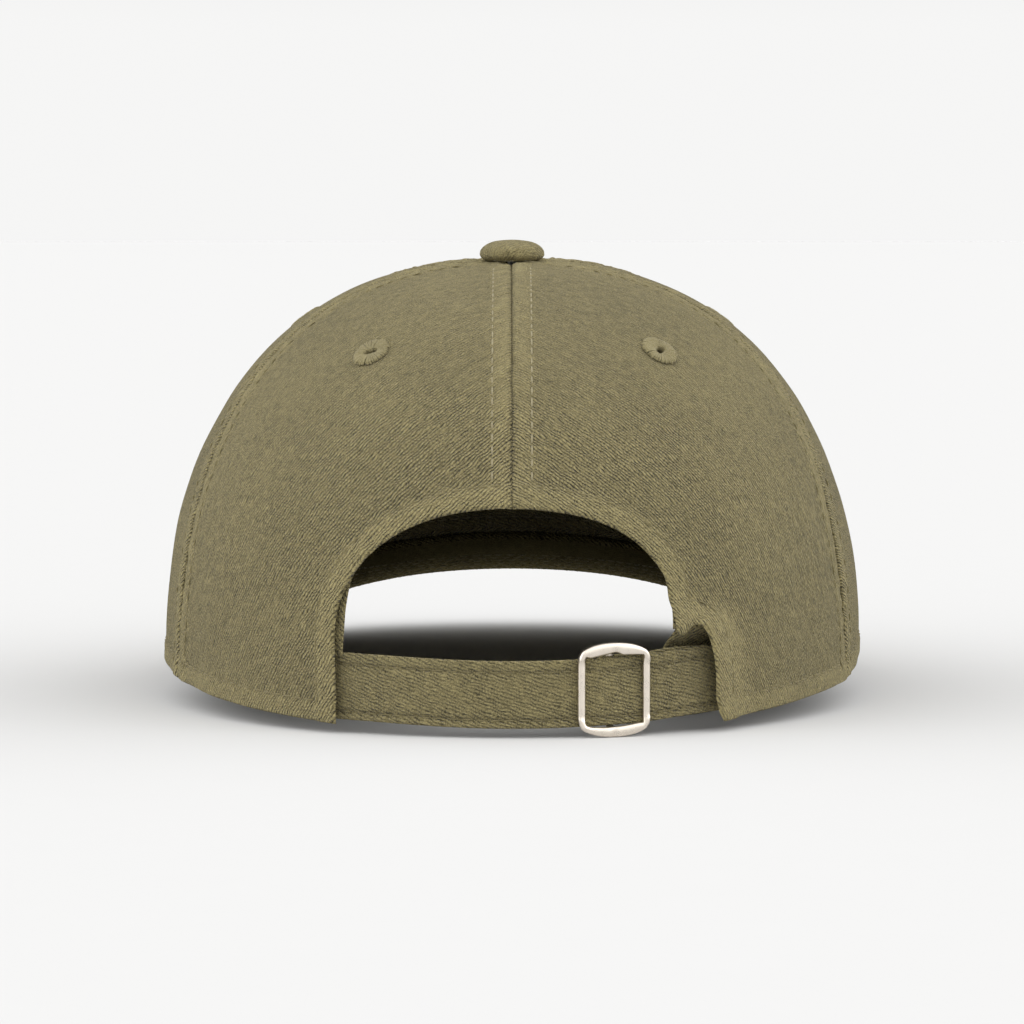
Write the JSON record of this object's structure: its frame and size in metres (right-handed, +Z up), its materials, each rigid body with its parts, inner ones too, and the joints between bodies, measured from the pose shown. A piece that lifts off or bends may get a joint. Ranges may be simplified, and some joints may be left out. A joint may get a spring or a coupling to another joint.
{
  "type": "baseball cap",
  "caption": "Soft panelled cotton cap with a curved visor, stitched eyelets, a covered top button and an arched rear opening closed by a tuck-in strap with a slide buckle.",
  "frame": {"origin": "on the surface that the cap stands on, under the middle of its bounding box", "axes": "+Z up, the visor points along -Y, the rear opening and buckle along +Y, +X is the wearer's left"},
  "size_m": [0.1744, 0.2666, 0.1124],
  "materials": {
    "twill": "washed cotton twill, matt, olive khaki",
    "sweatband_twill": "washed cotton twill, matt",
    "tape": "plain woven cotton tape, matt",
    "thread": "polyester sewing thread, slight sheen",
    "padding": "needled felt, matt",
    "board": "smooth matt board",
    "steel": "plain pressed steel",
    "nickel": "satin nickel plating"
  },
  "bodies": {
    "cap": {"back_left_panel": "twill", "side_left_panel": "twill", "front_left_panel": "twill", "back_right_panel": "twill", "side_right_panel": "twill", "front_right_panel": "twill", "back_left_eyelet": "thread", "side_left_eyelet": "thread", "front_left_eyelet": "thread", "back_right_eyelet": "thread", "side_right_eyelet": "thread", "front_right_eyelet": "thread", "centre_seam_tape": "tape", "back_left_seam_tape": "tape", "front_left_seam_tape": "tape", "back_right_seam_tape": "tape", "front_right_seam_tape": "tape", "rear_arch_facing": "tape", "sweatband_cover": "sweatband_twill", "sweatband_padding": "padding", "button_cover": "twill", "button_shell": "steel", "button_post": "steel", "button_washer": "steel", "visor_upper_cover": "twill", "visor_board": "board", "visor_under_cover": "twill", "long_strap": "twill"},
    "buckle": {"short_strap": "twill", "buckle_frame": "nickel", "buckle_bar": "nickel"}
  },
  "joints": [
    {"name": "buckle_slide", "type": "hinge", "parent": "cap", "child": "buckle", "pos_m": [0, 0.05468, 0.011], "axis": [0, 0, 1], "range_deg": [-18, 7]}
  ]
}
